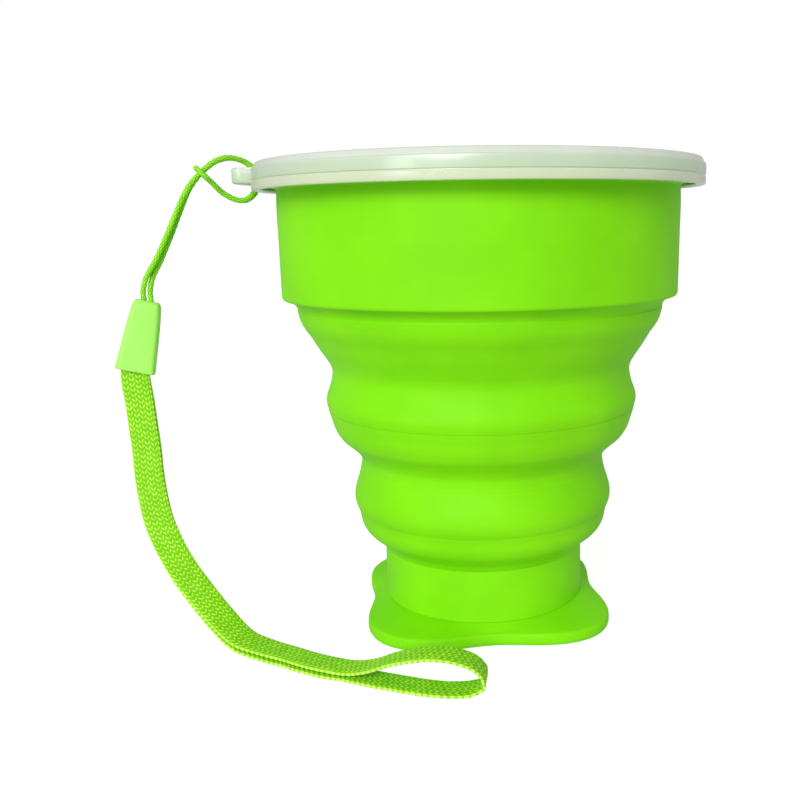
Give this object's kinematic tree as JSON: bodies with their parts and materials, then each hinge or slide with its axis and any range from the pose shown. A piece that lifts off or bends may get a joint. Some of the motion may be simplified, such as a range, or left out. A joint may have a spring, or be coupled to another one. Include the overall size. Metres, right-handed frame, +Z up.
{
  "type": "collapsible travel cup",
  "caption": "Collapsible silicone drinking cup with stiff rings that fold into one another, a push-fit lid with a tab, and a wrist strap on a cord.",
  "frame": {"origin": "centre of the foot's underside, on the cup's axis", "axes": "+Z up along the cup's axis, -X towards the lid's tab and the wrist strap, +Y away from the side where the strap lies"},
  "size_m": [0.107, 0.0804, 0.0858],
  "materials": {
    "silicone": "satin",
    "milky_lid": "translucent satin",
    "cord_yarn": "braided",
    "clip_plastic": "soft gloss",
    "webbing_yarn": "woven"
  },
  "bodies": {
    "rim": {"rim_lip": "silicone", "rim_band": "silicone", "upper_web": "silicone"},
    "upper_ring": {"ring_upper": "silicone", "middle_web": "silicone"},
    "lower_ring": {"ring_lower": "silicone", "lower_web": "silicone"},
    "base": {"base_cup": "silicone", "foot": "silicone"},
    "lid": {"lid": "milky_lid", "lid_tab": "milky_lid", "wrist_cord": "cord_yarn", "cord_knot": "cord_yarn", "strap_clip": "clip_plastic", "wrist_webbing": "webbing_yarn"}
  },
  "joints": [
    {"name": "upper_fold", "type": "slide", "parent": "rim", "child": "upper_ring", "axis": [0, 0, -1], "range_m": [-0.026, 0], "deforming": ["upper_web"]},
    {"name": "middle_fold", "type": "slide", "parent": "upper_ring", "child": "lower_ring", "axis": [0, 0, -1], "range_m": [-0.018, 0], "deforming": ["middle_web"]},
    {"name": "lower_fold", "type": "slide", "parent": "lower_ring", "child": "base", "axis": [0, 0, -1], "range_m": [-0.013, 0], "deforming": ["lower_web"]},
    {"name": "lid_lift", "type": "slide", "parent": "rim", "child": "lid", "axis": [0, 0, 1], "range_m": [0, 0.03]}
  ]
}
